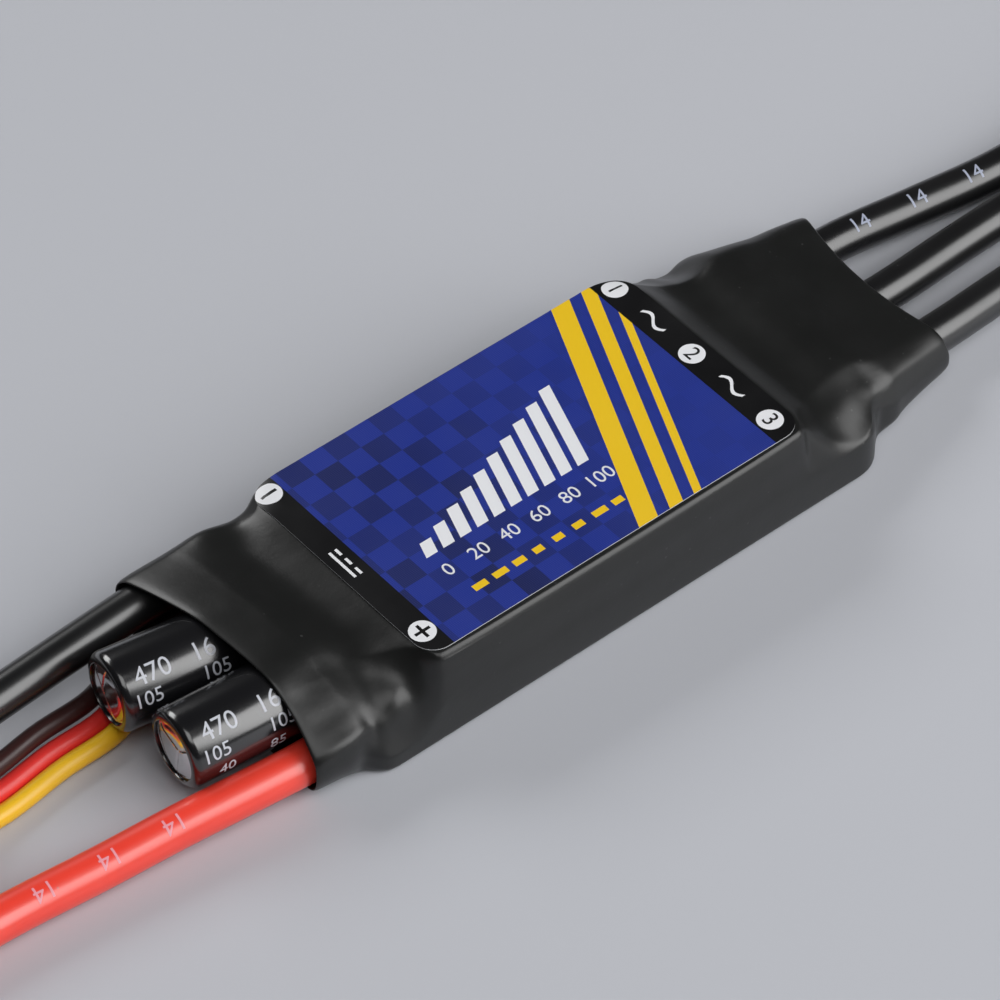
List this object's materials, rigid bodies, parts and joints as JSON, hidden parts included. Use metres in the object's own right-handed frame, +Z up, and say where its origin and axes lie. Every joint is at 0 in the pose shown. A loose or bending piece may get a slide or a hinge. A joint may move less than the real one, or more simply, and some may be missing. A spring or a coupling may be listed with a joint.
{
  "type": "electronic speed controller",
  "caption": "Flat electronic speed controller for a brushless motor, in a shrunk black sleeve with a blue label, with capacitors, battery leads, servo lead and motor leads.",
  "frame": {"origin": "on the flat underside, below the middle of the label", "axes": "+X towards the motor leads, -X towards the battery leads, +Y towards the black battery wire, +Z up through the label"},
  "size_m": [0.2729, 0.0263, 0.0093],
  "materials": {
    "shrink_film": "satin heat-shrink film",
    "label_print": "printed film, semi-gloss",
    "aluminium": "plain",
    "thermal_silicone": "matt",
    "board_laminate": "solder mask",
    "chip_resin": "moulded",
    "ferrite": "sintered",
    "brass": "gold plated",
    "tinned_steel": "tinned",
    "rubber": "matt",
    "capacitor_film": "glossy film",
    "silicone_black": "smooth silicone",
    "silicone_red": "smooth silicone",
    "vinyl_yellow": "smooth vinyl",
    "vinyl_red": "smooth vinyl",
    "vinyl_brown": "smooth vinyl",
    "plug_nylon": "moulded",
    "black_nylon": "moulded"
  },
  "bodies": {
    "root": {"heat_shrink_sleeve": "shrink_film", "label": "label_print", "heat_sink_plate": "aluminium", "thermal_pad": "thermal_silicone", "switching_board": "board_laminate", "control_board": "board_laminate", "mosfet_1": "chip_resin", "mosfet_2": "chip_resin", "mosfet_3": "chip_resin", "mosfet_4": "chip_resin", "mosfet_5": "chip_resin", "mosfet_6": "chip_resin", "microcontroller": "chip_resin", "gate_driver_1": "chip_resin", "gate_driver_2": "chip_resin", "gate_driver_3": "chip_resin", "bec_regulator": "chip_resin", "bec_inductor": "ferrite", "signal_header": "black_nylon", "phase_post_1": "brass", "phase_post_2": "brass", "phase_post_3": "brass", "supply_post_negative": "brass", "supply_post_positive": "brass", "capacitor_can_1": "aluminium", "capacitor_can_2": "aluminium", "capacitor_sleeve_1": "capacitor_film", "capacitor_sleeve_2": "capacitor_film", "capacitor_bung_1": "rubber", "capacitor_bung_2": "rubber", "capacitor_lead_1_1": "tinned_steel", "capacitor_lead_1_2": "tinned_steel", "capacitor_lead_2_1": "tinned_steel", "capacitor_lead_2_2": "tinned_steel", "motor_wire_1": "silicone_black", "motor_wire_2": "silicone_black", "motor_wire_3": "silicone_black", "bullet_socket_1": "brass", "bullet_socket_2": "brass", "bullet_socket_3": "brass", "bullet_sleeve_1": "shrink_film", "bullet_sleeve_2": "shrink_film", "bullet_sleeve_3": "shrink_film", "battery_wire_negative": "silicone_black", "battery_wire_positive": "silicone_red", "battery_plug_housing": "plug_nylon", "battery_plug_blade_negative": "brass", "battery_plug_blade_positive": "brass", "battery_tube_negative": "shrink_film", "battery_tube_positive": "shrink_film", "servo_wire_yellow": "vinyl_yellow", "servo_wire_red": "vinyl_red", "servo_wire_brown": "vinyl_brown", "servo_plug_housing": "black_nylon", "servo_plug_contact_1": "brass", "servo_plug_contact_2": "brass", "servo_plug_contact_3": "brass", "servo_lead_tie": "black_nylon"}
  },
  "joints": []
}
